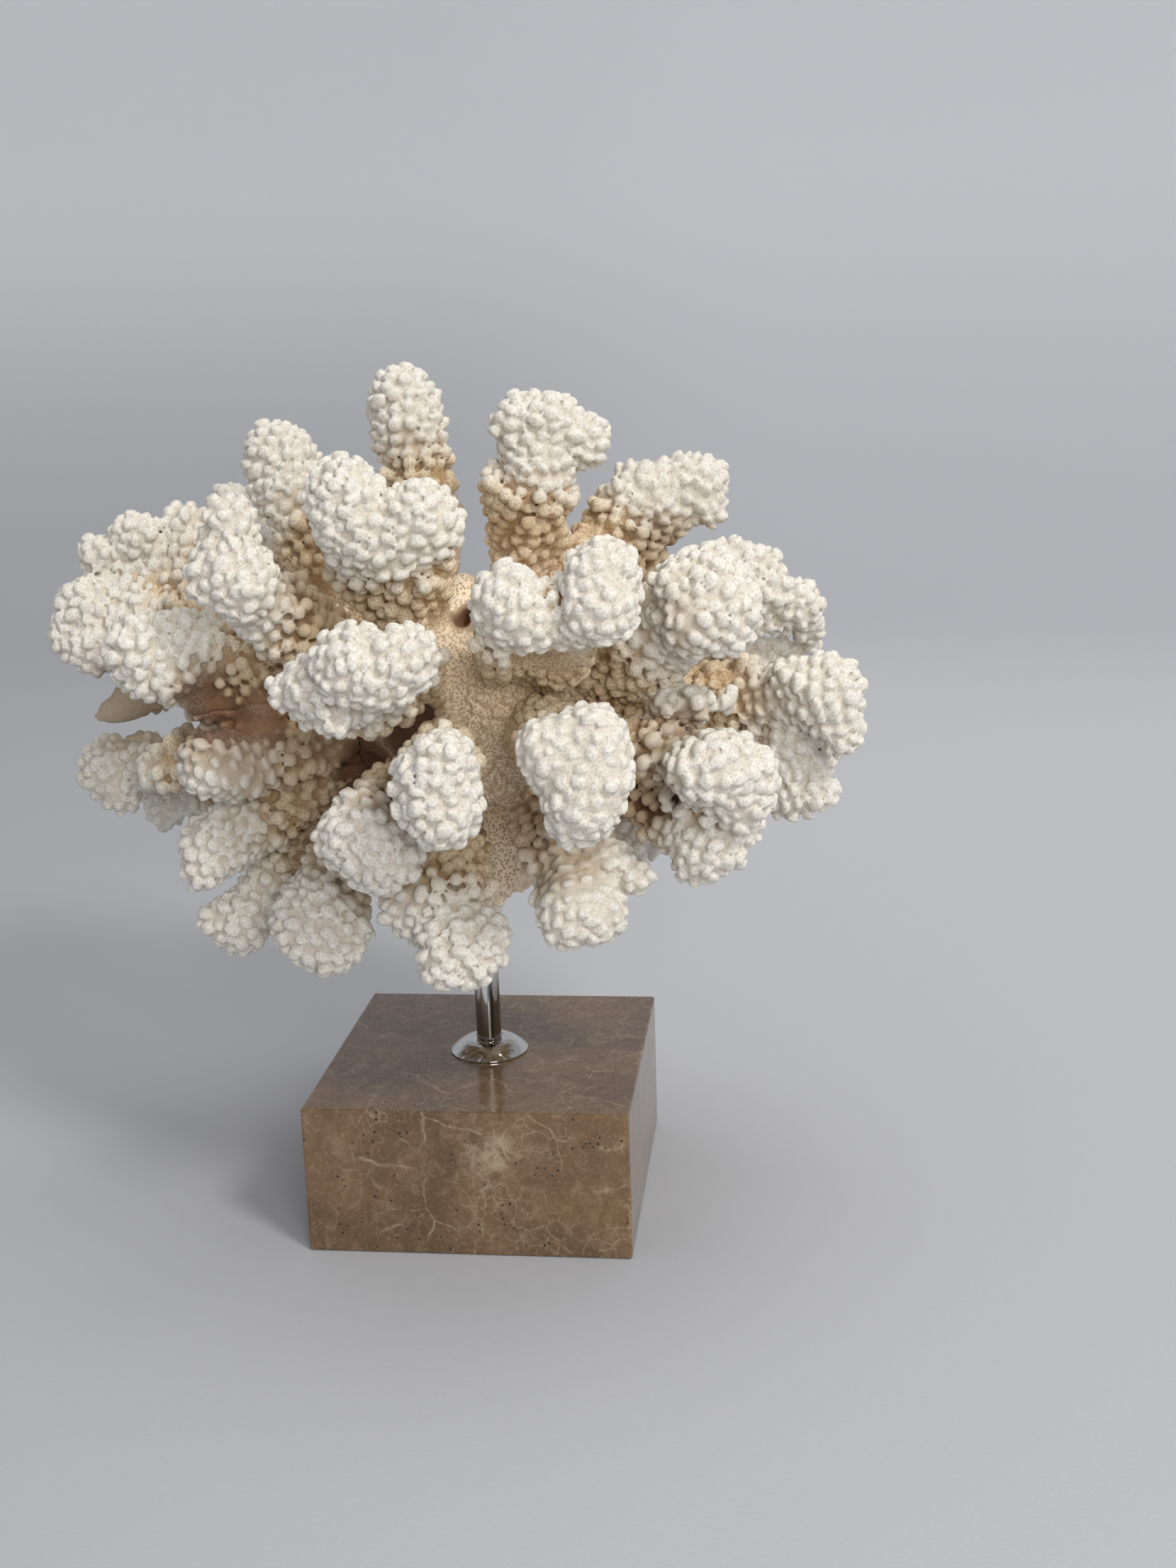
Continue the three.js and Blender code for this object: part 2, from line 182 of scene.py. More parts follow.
DIVE = 2.5  # how steeply a piece runs under its neighbour past the border
DIVE_STRIP = 3.0  # how far past the border it is worked out
THINNING, CORE_THINNING = 0.15, 0.03  # how far flat stretches of a surface are made of larger faces
FINE_FRONT, FINE_BACK, FINE_QUICK = 0.94, 1.5, 1.3  # voxels in front, behind, and in a draft
FRONT_UNTIL = 30.0  # how far back a piece's middle may be for it to count as in front
SMALLEST_PART = 150  # a loose part with no more faces than this is left out
JOIN_ROUNDS = 200  # at most, to find which faces hang together
NARROW_LIFT, WIDE_LIFT = 1.5, 4.0  # how far above its skin a piece reads the two blurs

SEED = 20
rng = np.random.default_rng(SEED)


# The body as a distance field

def solid_of(node):
    """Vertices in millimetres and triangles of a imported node."""
    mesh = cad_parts[node].data
    mesh.calc_loop_triangles()
    points = np.empty(len(mesh.vertices) * 3, np.float32)
    mesh.vertices.foreach_get("co", points)
    corners = np.empty(len(mesh.loop_triangles) * 3, np.int32)
    mesh.loop_triangles.foreach_get("vertices", corners)
    return points.reshape(-1, 3) / MM, corners.reshape(-1, 3).astype(np.uint32)


def distance_block(node):
    """A node's distance field on its own block of the coarse grid, and the block's lowest voxel."""
    points, triangles = solid_of(node)
    grid = openvdb.FloatGrid.createLevelSetFromPolygons(
        points.astype(np.float32), triangles=triangles,
        transform=openvdb.createLinearTransform(COARSE), halfWidth=BAND)
    low, high = (np.array(corner) for corner in grid.evalActiveVoxelBoundingBox())
    block = np.empty(tuple(high - low + 1), np.float32)
    grid.copyToArray(block, ijk=tuple(int(i) for i in low))
    return block, low


def blurred(field, sigma):
    """A field smoothed by a Gaussian of that many voxels."""
    reach = int(math.ceil(2.5 * sigma))
    weights = np.exp(-0.5 * (np.arange(-reach, reach + 1) / sigma) ** 2)
    weights = (weights / weights.sum()).astype(np.float32)
    for axis in range(3):
        pad = [(0, 0)] * 3
        pad[axis] = (reach, reach)
        wide = np.pad(field, pad, mode="edge")
        size = field.shape[axis]
        field = sum(w * np.take(wide, range(k, k + size), axis=axis) for k, w in enumerate(weights))
    return field


def resampled(field, field_low, field_step, low, step, shape):
    """A field read off at the points of another grid, by linear interpolation."""
    for axis in range(3):
        at = (low[axis] + step * np.arange(shape[axis]) - field_low[axis]) / field_step
        at = np.clip(at, 0, field.shape[axis] - 1.001)
        whole = at.astype(int)
        part = (at - whole).astype(np.float32).reshape([-1 if k == axis else 1 for k in range(3)])
        field = np.take(field, whole, axis=axis) * (1 - part) + np.take(field, whole + 1, axis=axis) * part
    return field


def read_at(field, points):
    """A coarse field's values at loose points."""
    at = np.clip((points - low_mm) / COARSE, 0, np.array(field.shape) - 1.001)
    whole = at.astype(int)
    part = at - whole
    total = np.zeros(len(points))
    for corner in np.ndindex(2, 2, 2):
        weight = np.prod(np.where(corner, part, 1 - part), axis=1)
        i, j, k = (whole + corner).T
        total += weight * field[i, j, k]
    return total


def soft_min(a, b, width):
    """The lower of two fields, melted together over a width."""
    share = np.clip(0.5 + 0.5 * (b - a) / width, 0, 1)
    return b + (a - b) * share - width * share * (1 - share)


def drifting(shape, wavelength, sigma):
    """A smooth random field of about unit strength on the coarse grid."""
    lattice = rng.standard_normal([int(n * COARSE / wavelength) + 3 for n in shape]).astype(np.float32)
    field = resampled(lattice, np.zeros(3), wavelength, np.zeros(3), COARSE, shape)
    return blurred(field, sigma)


def grown(value, start, fade):
    """0 up to a start, and rising from there to 1."""
    return np.clip((value - start) / fade, 0, 1)


coral_nodes = [n for n in sorted(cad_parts) if n not in STAND_NODES]
boxes = np.array([[list(c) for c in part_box(n)] for n in coral_nodes]) / MM
margin = int(BAND) + 2
low_voxel = np.floor(boxes[:, 0].min(0) / COARSE).astype(int) - margin
shape = np.ceil(boxes[:, 1].max(0) / COARSE).astype(int) + margin - low_voxel + 1
low_mm = low_voxel * COARSE

# For each voxel: the distances to the nearest and the second nearest solid, and which one is nearest.
far = BAND * COARSE
nearest = np.full(shape, far, np.float32)
second = np.full(shape, far, np.float32)
owner = np.full(shape, -1, np.int16)
blocks = []
for index, node in enumerate(coral_nodes):
    block, low = distance_block(node)
    place = tuple(slice(int(a), int(a) + n) for a, n in zip(low - low_voxel, block.shape))
    best = nearest[place]
    second[place] = np.minimum(second[place], np.maximum(best, block))
    owner[place] = np.where(block < best, index, owner[place])
    nearest[place] = np.minimum(best, block)
    blocks.append((block, place))

axes = [low_mm[k] + COARSE * np.arange(shape[k]) for k in range(3)]
X, Y, Z = np.meshgrid(*axes, indexing="ij", sparse=True)
from_heart = np.sqrt((X - HEART[0]) ** 2 + (Y - HEART[1]) ** 2 + (Z - HEART[2]) ** 2)

solids = [solid_of(node) for node in coral_nodes]
reach_of = np.array([np.linalg.norm(points - HEART, axis=1).max() for points, _ in solids], np.float32)
along = np.where(owner >= 0, from_heart / reach_of[owner], 0.0).astype(np.float32)  # 1 at a branch's tip
slack = HEAD_INSET * grown(along, INSET_START, INSET_FADE)
slack[owner == coral_nodes.index(CORE)] = 0

# The rod's hole is closed here and cut again exactly in the core's own piece.
plug = np.maximum(np.hypot(X, Y) - PLUG_RADIUS, np.abs(Z - PLUG_MIDDLE) - PLUG_HALF).astype(np.float32)
body = soft_min(np.minimum(nearest, plug), second, FILLET) + slack
body = (blurred(body, ROUNDING) + INSET).astype(np.float32)


def camera_axes():
    """The camera's right, up and forward directions."""
    yaw, pitch, roll = (math.radians(a) for a in (CAMERA_YAW, CAMERA_PITCH, CAMERA_ROLL))
    forward = np.array([-math.sin(yaw) * math.cos(pitch), math.cos(yaw) * math.cos(pitch), math.sin(pitch)])
    level = np.array([math.cos(yaw), math.sin(yaw), 0.0])
    above = np.cross(level, forward)
    return (level * math.cos(roll) + above * math.sin(roll),
            above * math.cos(roll) - level * math.sin(roll), forward)


RIGHT, UP, FORWARD = camera_axes()


def sight(across, down):
    """The direction in which the camera sees a pixel."""
    way = (FORWARD + RIGHT * (across - PICTURE_WIDTH / 2) / FOCAL_PIXELS
           - UP * (down - PICTURE_HEIGHT / 2) / FOCAL_PIXELS)
    return way / np.linalg.norm(way)


def seen_point(tree, across, down, depth):
    """Where the sight line meets a solid, pushed in by a depth, or where it passes closest to it."""
    way = sight(across, down)
    hit = tree.ray_cast(Vector(CAMERA_PLACE), Vector(way))[0]
    if hit is not None:
        return np.array(hit) + way * depth
    spots = [CAMERA_PLACE + way * t for t in SIGHT_DISTANCES]
    return min(spots, key=lambda spot: tree.find_nearest(Vector(spot))[3])


def tree_of(points, triangles):
    """A mesh that sight lines can be cast at."""
    return BVHTree.FromPolygons(points.tolist(), triangles.tolist())


def lobes_of(index, node):
    """Middles and radii of the lobes on a branch's head: those seen, or else some at its far end."""
    points, triangles = solids[index]
    seen = LOBES_SEEN.get(node.removeprefix("branch_"))
    if seen:
        tree = tree_of(points, triangles)
        depth, relief = (CORE_LOBE_DEPTH, 0.0) if node == CORE else (LOBE_DEPTH, PEG_RELIEF)
        return [(seen_point(tree, across, down, radius * depth), radius - relief)
                for across, down, radius in seen]
    share = np.linalg.norm(points - HEART, axis=1) / reach_of[index]
    rim = points[share > FAR_RIM]
    picked = [rim[np.argmax(np.linalg.norm(rim - HEART, axis=1))]]
    while len(picked) < FAR_LOBES:
        gaps = np.min([np.linalg.norm(rim - spot, axis=1) for spot in picked], axis=0)
        picked.append(rim[np.argmax(gaps)])
    lobes = []
    for spot in picked:
        radius = rng.uniform(*FAR_LOBE_RADII)
        inward = (HEART - spot) / np.linalg.norm(HEART - spot)
        lobes.append((spot + inward * radius, radius - PEG_RELIEF))
    return lobes


def add_ball(field, middle, radius, carve=False):
    """Melts a ball onto a field, or carves one out of it."""
    first = np.maximum(np.floor((middle - radius - LOBE_ROOM - low_mm) / COARSE).astype(int), 0)
    last = np.minimum(np.ceil((middle + radius + LOBE_ROOM - low_mm) / COARSE).astype(int), shape)
    place = tuple(slice(a, b) for a, b in zip(first, last))
    dx, dy, dz = (axes[k][place[k]] - middle[k] for k in range(3))
    away = np.sqrt(dx[:, None, None] ** 2 + dy[None, :, None] ** 2 + dz[None, None, :] ** 2) - radius
    away = away.astype(np.float32)
    if carve:
        field[place] = -soft_min(-field[place], away, LOBE_MELT)
    else:
        field[place] = soft_min(field[place], away, LOBE_MELT)


for index, node in enumerate(coral_nodes):
    for middle, radius in lobes_of(index, node):
        add_ball(body, middle, radius)

outer = np.clip((from_heart - SWELL_START) / SWELL_FADE, SWELL_LEAST, 1)
swells = sum(strength * drifting(shape, wavelength, sigma) for strength, wavelength, sigma in SWELLS)
body = (body + outer * swells).astype(np.float32)

every_point = np.vstack([points for points, _ in solids])
starts = np.cumsum([0] + [len(points) for points, _ in solids])
every_triangle = np.vstack([triangles + start for (_, triangles), start in zip(solids, starts)])
all_solids = tree_of(every_point, every_triangle)
bare_spots = [(seen_point(all_solids, *pixel, 0.0), radius) for *pixel, radius in BARE_SEEN]
stains_and_shade = [(seen_point(all_solids, *pixel, 0.0), radius, depth) for *pixel, radius, depth in STAINS_AND_SHADE_SEEN]
for *pixel, radius in HOLLOWS_SEEN:
    add_ball(body, seen_point(all_solids, *pixel, 0.0), radius, carve=True)

# How buried each spot is. The materials read it to whiten the tips and to paint shade into the hollows.
solid_share = np.clip(0.5 - body / COARSE, 0, 1).astype(np.float32)
buried = blurred(solid_share, NARROW_BLUR)  # about 0.5 on flat skin, more in hollows, less on tips
buried_wide = blurred(solid_share, WIDE_BLUR)


# The body's skin and its pegs

def surface_of(field, step, low, adaptivity=0.0):
    """A field's zero surface: points in millimetres, and faces, a triangle's last corner being doubled."""
    reach = 3 * step
    grid = openvdb.FloatGrid(reach)
    grid.copyFromArray(np.ascontiguousarray(np.clip(field, -reach, reach), dtype=np.float32))
    points, triangles, quads = grid.convertToPolygons(isovalue=0.0, adaptivity=adaptivity)
    triangles = np.column_stack([triangles[:, ::-1], triangles[:, :1]])
    return points * step + low, np.vstack([quads[:, ::-1], triangles]).astype(np.int64)


def slopes_at(points):
    """Unit outward directions of the body's skin."""
    slope = np.empty_like(points)
    for axis in range(3):
        push = np.zeros(3)
        push[axis] = COARSE
        ahead = read_at(body, points + push)
        behind = read_at(body, points - push)
        slope[:, axis] = ahead - behind
    return slope / np.maximum(np.linalg.norm(slope, axis=1, keepdims=True), 1e-6)


def unit(v):
    """Vectors made one long."""
    return v / np.maximum(np.linalg.norm(v, axis=1, keepdims=True), 1e-6)


def scattered(points, spacing, wanted):
    """Picks wanted points at random, each of which keeps its spacing clear around it."""
    tree = KDTree(len(points))
    for k, point in enumerate(points):
        tree.insert(point, k)
    tree.balance()
    taken = ~wanted
    picked = []
    for k in rng.permutation(len(points)):
        if taken[k]:
            continue
        picked.append(k)
        for _, other, _ in tree.find_range(points[k], spacing[k]):
            taken[other] = True
    return np.array(picked)


skin, _ = surface_of(body, COARSE, low_mm)
skin = skin + rng.uniform(-SKIN_JITTER, SKIN_JITTER, skin.shape)
skin_distance = np.linalg.norm(skin - HEART, axis=1)
skin_buried = read_at(buried, skin)
skin_owner = owner[tuple(np.clip(np.rint((skin - low_mm) / COARSE).astype(int), 0, np.array(shape) - 1).T)]
on_core = skin_owner == coral_nodes.index(CORE)

head_share = grown(skin_distance / reach_of[skin_owner], HEAD_START, HEAD_FADE)
tip_share = head_share * np.clip((CONVEX - skin_buried) / CONVEX_FADE, 0, 1)
rim_share = np.clip(1 - np.abs(tip_share - RIM_AT) / RIM_AT, 0, 1)
growth = grown(skin_distance, PEG_START, PEG_FADE)
for spot, radius in bare_spots:
    growth *= np.clip(np.linalg.norm(skin - spot, axis=1) / radius * 2.0 - 1.0, 0, 1)

spacing = PEG_SPACING + PEG_SPACING_TIP * tip_share + PEG_SPACING_RIM * rim_share
spacing = spacing * rng.uniform(*SPACING_SPREAD, len(skin))
on_trunk = np.hypot(skin[:, 0] - TRUNK_MIDDLE, skin[:, 1]) < TRUNK_RADIUS
on_trunk &= (skin[:, 2] > TRUNK_LOW) & (skin[:, 2] < TRUNK_HIGH)
wanted = (growth > LEAST_GROWTH) & ~(on_core & (skin_distance < CORE_BARE)) & ~on_trunk
chosen = scattered(skin, spacing, wanted)
count = len(chosen)

peg_head, peg_tip, peg_rim = head_share[chosen], tip_share[chosen], rim_share[chosen]
peg_foot = skin[chosen]
peg_out = slopes_at(peg_foot)
peg_tipward = unit(peg_foot - HEART)
along_skin = peg_tipward - peg_out * np.sum(peg_tipward * peg_out, axis=1, keepdims=True)
lean = (PEG_LEAN + PEG_LEAN_HEAD * peg_head + PEG_LEAN_TIP * peg_tip)[:, None]
peg_way = unit(peg_out + lean * along_skin + WAY_SPREAD * rng.standard_normal(peg_foot.shape))
peg_size = growth[chosen] ** 0.6 * rng.uniform(*SIZE_SPREAD, count)
fused = rng.uniform(*FUSED_SPREAD, len(coral_nodes))[skin_owner[chosen]]  # how low the pegs lie on each head
rim_length = PEG_LENGTH_RIM * peg_rim * rng.uniform(*RIM_SPREAD, count)
peg_length = (PEG_LENGTH + rim_length + PEG_LENGTH_TIP * fused * peg_tip) * peg_size
peg_radius = (PEG_RADIUS + PEG_RADIUS_HEAD * peg_head + PEG_RADIUS_RIM * peg_rim) * (0.5 + 0.5 * peg_size)
# How much wider than thick a peg is, how far its end is rounded, and how deep the groove beside it is.
peg_width = 1.0 + peg_head * (1 - 0.7 * peg_rim) * rng.uniform(*WIDTH_SPREAD, count)
peg_edge = (PEG_EDGE + PEG_EDGE_HEAD * peg_head) * peg_radius
peg_groove = PEG_GROOVE + PEG_GROOVE_TIP * peg_tip
peg_across = unit(np.cross(peg_way, along_skin + TURN_SPREAD * rng.standard_normal(peg_foot.shape)))


def add_pegs(field, low, step):
    """Joins every peg that reaches a piece's block onto its field, with grooves between touching pegs."""
    closest = np.full(field.shape, NO_PEG, np.float32)
    next_closest = closest.copy()
    groove_depth = np.zeros(field.shape, np.float32)
    high = low + step * (np.array(field.shape) - 1)
    widest = peg_radius * peg_width
    reach = peg_length + widest + BLOCK_BORDER
    inside = np.all((peg_foot > low - reach[:, None]) & (peg_foot < high + reach[:, None]), axis=1)
    for k in np.flatnonzero(inside):
        foot, radius = peg_foot[k], peg_radius[k]
        end = foot + peg_way[k] * peg_length[k]
        room = widest[k] + PEG_BORDER
        first = np.floor((np.minimum(foot, end) - room - low) / step).astype(int)
        last = np.ceil((np.maximum(foot, end) + room - low) / step).astype(int) + 1
        first, last = np.maximum(first, 0), np.minimum(last, field.shape)
        if np.any(first >= last):
            continue
        place = tuple(slice(a, b) for a, b in zip(first, last))
        x, y, z = (low[n] + step * np.arange(first[n], last[n]) - foot[n] for n in range(3))
        x, y, z = x[:, None, None], y[None, :, None], z[None, None, :]
        height = x * peg_way[k, 0] + y * peg_way[k, 1] + z * peg_way[k, 2]
        sideways = x * peg_across[k, 0] + y * peg_across[k, 1] + z * peg_across[k, 2]
        aside = x ** 2 + y ** 2 + z ** 2 - np.maximum(height, 0) ** 2
        aside = np.sqrt(np.maximum(aside + sideways ** 2 * (peg_width[k] ** -2 - 1), 0))
        edge = peg_edge[k]
        flare = PEG_FOOT + PEG_FLARE * np.clip(height / peg_length[k], 0, 1)
        beside = aside - radius * flare + edge
        above = height - peg_length[k] + edge
        outside = np.hypot(np.maximum(beside, 0), np.maximum(above, 0))
        away = (outside + np.minimum(np.maximum(beside, above), 0) - edge).astype(np.float32)
        next_closest[place] = np.minimum(next_closest[place], np.maximum(closest[place], away))
        groove_depth[place] = np.where(away < closest[place], peg_groove[k], groove_depth[place])
        closest[place] = np.minimum(closest[place], away)
    groove = groove_depth * np.clip(1 - (next_closest - closest) / GROOVE_WIDTH, 0, 1)
    return soft_min(field, closest + groove, PEG_MELT)


# The coral's pieces

def large_parts(points_count, faces):
    """Which faces belong to parts of more than a few faces."""
    label = np.arange(points_count)
    for _ in range(JOIN_ROUNDS):
        lowest = label[faces].min(axis=1)
        fresh = label.copy()
        for corner in range(4):
            np.minimum.at(fresh, faces[:, corner], lowest)
        fresh = fresh[fresh]
        if np.array_equal(fresh, label):
            break
        label = fresh
    names, counts = np.unique(label[faces[:, 0]], return_counts=True)
    return np.isin(label[faces[:, 0]], names[counts > SMALLEST_PART])


def placed(name, data):
    """A new object with that data, put in the scene."""
    thing = bpy.data.objects.new(name, data)
    bpy.context.scene.collection.objects.link(thing)
    return thing


def mesh_from(name, points, faces):
    """A smooth-shaded object from points in millimetres and faces of three or four corners."""
    used, again = np.unique(faces, return_inverse=True)
    again = again.reshape(faces.shape)
    points = points[used]
    three = again[:, 2] == again[:, 3]
    three |= again[:, 3] == again[:, 0]
    loops = np.concatenate([again[~three].ravel(), again[three][:, :3].ravel()])
    fours, threes = int(np.sum(~three)), int(np.sum(three))
    starts = np.concatenate([np.arange(fours) * 4, fours * 4 + np.arange(threes) * 3])
    mesh = bpy.data.meshes.new(name)
    mesh.vertices.add(len(points))
    mesh.vertices.foreach_set("co", (points * MM).astype(np.float32).ravel())
    mesh.loops.add(len(loops))
    mesh.loops.foreach_set("vertex_index", loops.astype(np.int32))
    mesh.polygons.add(len(starts))
    mesh.polygons.foreach_set("loop_start", starts.astype(np.int32))
    mesh.polygons.foreach_set("use_smooth", np.ones(len(starts), bool))
    mesh.update(calc_edges=True)
    return placed(name, mesh), points


def set_values(piece, name, values):
    """Leaves a number on each point of a piece, for its material to read."""
    layer = piece.data.attributes.new(name, "FLOAT", "POINT")
    layer.data.foreach_set("value", np.asarray(values, np.float32))


def fine_field(index, node):
    """A piece's own field with its pegs, on a fine grid: the field, its lowest corner and its voxel."""
    block, place = blocks[index]
    rival = np.where(owner[place] == index, second[place], nearest[place])
    past_border = (block - rival) / 2
    skin_body = body[place]
    spots = np.argwhere((np.abs(skin_body) < PEG_ROOM) & (past_border < DIVE_STRIP))
    first, last = spots.min(0), spots.max(0) + 1
    inner = tuple(slice(a, b) for a, b in zip(first, last))
    block_low = low_mm + COARSE * np.array([s.start for s in place])
    low = block_low + COARSE * first

    middle = block_low + COARSE * (first + last) / 2
    step = FINE_FRONT if middle[1] < FRONT_UNTIL else FINE_BACK
    fine_shape = [int((b - a) * COARSE / step) for a, b in zip(first, last - 1)]
    field = resampled(skin_body[inner], low, COARSE, low, step, fine_shape).astype(np.float32)
    border = resampled(past_border[inner], low, COARSE, low, step, fine_shape)
    field = add_pegs(field, low, step)
    field += DIVE * np.maximum(border, 0)
    if node == CORE:
        field = bored(field, low, step)
    return field, low, step


def bored(field, low, step):
    """A field with the rod's hole cut out of it."""
    x, y, z = (low[k] + step * np.arange(field.shape[k]) for k in range(3))
    hole = np.hypot(x[:, None, None], y[None, :, None]) - (ROD_RADIUS + ROD_GAP)
    hole = np.maximum(hole, z[None, None, :] - ROD_TOP - ROD_GAP)
    return np.maximum(field, -hole)


def mark_places(piece, points, index):
    """Marks how deep in a hollow, how far out and how bare each point is, and how much brown it gets from
    stains and painted shade.
    """
    out = slopes_at(points)
    set_values(piece, "buried", read_at(buried, points + out * NARROW_LIFT))
    set_values(piece, "buried_wide", read_at(buried_wide, points + out * WIDE_LIFT))
    set_values(piece, "rise", read_at(body, points))
    distance = np.linalg.norm(points - HEART, axis=1)
    set_values(piece, "reach", distance)
    set_values(piece, "along", distance / reach_of[index])
    bare = np.zeros(len(points))
    for spot, radius in bare_spots:
        bare = np.maximum(bare, np.clip(2.2 - 2.0 * np.linalg.norm(points - spot, axis=1) / radius, 0, 1))
    set_values(piece, "bare", bare)
    # Brown marks, partly real stains and partly painted shade under branches and in hollows.
    stain_and_shade = np.zeros(len(points))
    for spot, radius, depth in stains_and_shade:
        fall = np.clip(1.5 - np.linalg.norm(points - spot, axis=1) / radius, 0, 1)
        stain_and_shade = np.maximum(stain_and_shade, depth * fall * fall * (3 - 2 * fall))
    set_values(piece, "stain_and_shade", stain_and_shade)


def mark_facing(piece):
    """Marks how far each point faces along each axis, as three shares."""
    normals = np.empty(len(piece.data.vertices) * 3, np.float32)
    piece.data.vertex_normals.foreach_get("vector", normals)
    facing = np.abs(normals.reshape(-1, 3)) ** 6
    shares = (facing / facing.sum(axis=1, keepdims=True)).astype(np.float32)
    layer = piece.data.attributes.new("facing", "FLOAT_VECTOR", "POINT")
    layer.data.foreach_set("vector", shares.ravel())


def settle(piece, node, material):
    """Dresses a piece, hangs it on the root body and hides the node it replaces."""
    piece.data.materials.append(material)
    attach(piece, "root")
    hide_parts(node)


def coral_piece(index, node, material):
    """Makes one branch, or the core."""
    is_core = node == CORE
    field, low, step = fine_field(index, node)
    points, faces = surface_of(field, step, low, CORE_THINNING if is_core else THINNING)
    faces = faces[large_parts(len(points), faces)]
    piece, points = mesh_from("core_skin" if is_core else node.replace("branch", "coral"), points, faces)
    mark_places(piece, points, index)
    mark_facing(piece)
    settle(piece, node, material)


# Materials

class Nodes:
    """A material's node tree, written as calls."""

    def __init__(self, name):
        self.material = bpy.data.materials.new(name)
        self.material.use_nodes = True
        self.tree = self.material.node_tree
        self.shader = self.tree.nodes["Principled BSDF"]

    def add(self, kind, **values):
        """A new node with some of its settings."""
        node = self.tree.nodes.new(kind)
        for key, value in values.items():
            setattr(node, key, value)
        return node

    def put(self, socket, value):
        """Links an output to a socket, or sets the socket to a value."""
        if hasattr(value, "is_output"):
            self.tree.links.new(value, socket)
        else:
            socket.default_value = value

    def shade(self, **values):
        """Links outputs to the shader's sockets, or sets them."""
        for key, value in values.items():
            self.put(self.shader.inputs[key.replace("_", " ")], value)

    def attribute(self, name):
        return self.add("ShaderNodeAttribute", attribute_name=name).outputs["Fac"]

    def math(self, operation, a, b=0.0, clamp=False):
        node = self.add("ShaderNodeMath", operation=operation, use_clamp=clamp)
        self.put(node.inputs[0], a)
        self.put(node.inputs[1], b)
        return node.outputs[0]

    def vector(self, operation, a, b, output="Vector"):
        node = self.add("ShaderNodeVectorMath", operation=operation)
        self.put(node.inputs[0], a)
        self.put(node.inputs[1], b)
        return node.outputs[output]

    def times(self, a, b):
        return self.math("MULTIPLY", a, b)

    def ramp(self, value, low, high, to_low=0.0, to_high=1.0):
        """A smooth step from one value to another."""
        node = self.add("ShaderNodeMapRange", interpolation_type="SMOOTHSTEP")
        for socket, v in zip(node.inputs, (value, low, high, to_low, to_high)):
            self.put(socket, v)
        return node.outputs[0]

    def mix(self, share, a, b):
        node = self.add("ShaderNodeMix", data_type="RGBA")
        self.put(node.inputs[0], share)
        for socket, colour in ((node.inputs[6], a), (node.inputs[7], b)):
            self.put(socket, colour if hasattr(colour, "is_output") else (*colour, 1))
        return node.outputs[2]

    def where(self):
        """The place on the object, in metres."""
        return self.add("ShaderNodeTexCoord").outputs["Object"]

    def noise(self, scale, detail=3.0, roughness=0.55, distortion=0.0, output="Fac"):
        node = self.add("ShaderNodeTexNoise")
        self.put(node.inputs["Vector"], self.where())
        node.inputs["Scale"].default_value = scale
        node.inputs["Detail"].default_value = detail
        node.inputs["Roughness"].default_value = roughness
        node.inputs["Distortion"].default_value = distortion
        return node.outputs[output]

    def voronoi(self, scale, at, feature="F1", flat=False):
        node = self.add("ShaderNodeTexVoronoi", feature=feature, voronoi_dimensions="2D" if flat else "3D")
        self.put(node.inputs["Vector"], at)
        node.inputs["Scale"].default_value = scale
        return node.outputs["Distance"]

    def warped(self, scale, strength):
        """Object coordinates pushed about by noise."""
        push = self.vector("SUBTRACT", self.noise(scale, 2.0, output="Color"), (0.5, 0.5, 0.5))
        scaled = self.add("ShaderNodeVectorMath", operation="SCALE")
        self.put(scaled.inputs[0], push)
        scaled.inputs["Scale"].default_value = strength
        return self.vector("ADD", self.where(), scaled.outputs[0])

    def bump(self, height, distance, strength=1.0, below=None):
        node = self.add("ShaderNodeBump")
        self.put(node.inputs["Height"], height)
        node.inputs["Distance"].default_value = distance
        node.inputs["Strength"].default_value = strength
        if below is not None:
            self.put(node.inputs["Normal"], below)
        return node.outputs[0]


CUP_PITCH, PIT_PITCH = 0.98 * MM, 1.15 * MM

# Colours in pairs, darker and lighter, which noise mixes.
CORE_COLOURS = (0.92, 0.76, 0.55), (0.96, 0.85, 0.68)
SIDE_COLOURS = (0.66, 0.50, 0.31), (0.80, 0.67, 0.48)
PALE_COLOURS = (0.75, 0.63, 0.44), (0.80, 0.71, 0.54)
HEAD_COLOURS = (0.765, 0.73, 0.655), (0.83, 0.805, 0.74)
# Colours in pairs, on a branch's side and on its head: the grooves between pegs, tan with painted shade, and
# the cups' floors, brown on the side and painted shade on the head.
GROOVE_TAN_AND_SHADE_COLOURS = (0.56, 0.39, 0.21), (0.64, 0.58, 0.48)
CUP_TONE_AND_SHADE_COLOURS = (0.36, 0.20, 0.085), (0.52, 0.48, 0.405)
PIT_COLOUR = (0.42, 0.23, 0.10)
# Browns for real stains and for painted shade deep in the hollows.
GOLDEN_BROWN, DARK_BROWN = (0.38, 0.265, 0.15), (0.14, 0.060, 0.031)

MARBLE_COLOURS = (0.120, 0.070, 0.036), (0.190, 0.113, 0.056)
MARBLE_PALE, MARBLE_DARK, MARBLE_HOLE = (0.33, 0.24, 0.15), (0.085, 0.052, 0.028), (0.035, 0.022, 0.012)
MARBLE_GRIT, MARBLE_VEIN, MARBLE_STAR = (0.40, 0.31, 0.20), (0.50, 0.40, 0.27), (0.56, 0.46, 0.32)
STAR_PLACE = (0.008, -0.05, 0.034)  # a pale patch on the block's front, in metres

ROSETTE_COLOURS = (0.56, 0.55, 0.54), (0.70, 0.69, 0.68)
